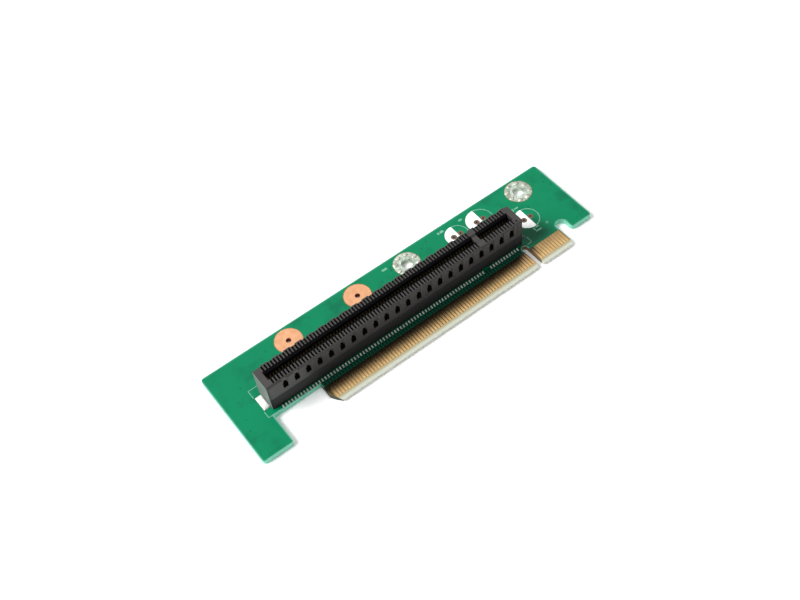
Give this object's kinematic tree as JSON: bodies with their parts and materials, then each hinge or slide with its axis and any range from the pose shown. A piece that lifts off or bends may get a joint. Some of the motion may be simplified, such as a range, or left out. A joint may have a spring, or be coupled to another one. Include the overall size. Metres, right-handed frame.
{
  "type": "pci express riser card",
  "caption": "Flat green circuit board with a long card-edge slot standing on it and a keyed gold card edge along its lower side, for re-seating an add-in card.",
  "frame": {"origin": "middle of the board's outline, on the plane of the lands on its back face", "axes": "+X along the board towards the short end of the slot, +Y across the board towards its straight long edge, +Z out of the component face, along the slot's mouth"},
  "size_m": [0.1222, 0.0332, 0.0122],
  "materials": {
    "board": "glossy green solder mask over glass epoxy",
    "gold": "thin gold plating",
    "tinned_land": "tinned copper, slightly uneven",
    "bare_copper": "bare copper with a clear protective finish",
    "black_plastic": "semi-gloss moulded black plastic",
    "contact_brass": "sprung copper alloy with tinned feet",
    "tinned_tab": "tinned sheet metal"
  },
  "bodies": {
    "root": {"pcb_laminate": "board", "edge_fingers_front": "gold", "edge_fingers_back": "gold", "mount_barrel_left": "tinned_land", "mount_barrel_right": "tinned_land", "probe_barrel_left": "bare_copper", "probe_barrel_right": "bare_copper", "slot_housing": "black_plastic", "contact_row_near": "contact_brass", "contact_row_far": "contact_brass", "hold_down_left": "tinned_tab", "hold_down_right": "tinned_tab", "hold_down_pads": "tinned_land"}
  },
  "joints": []
}
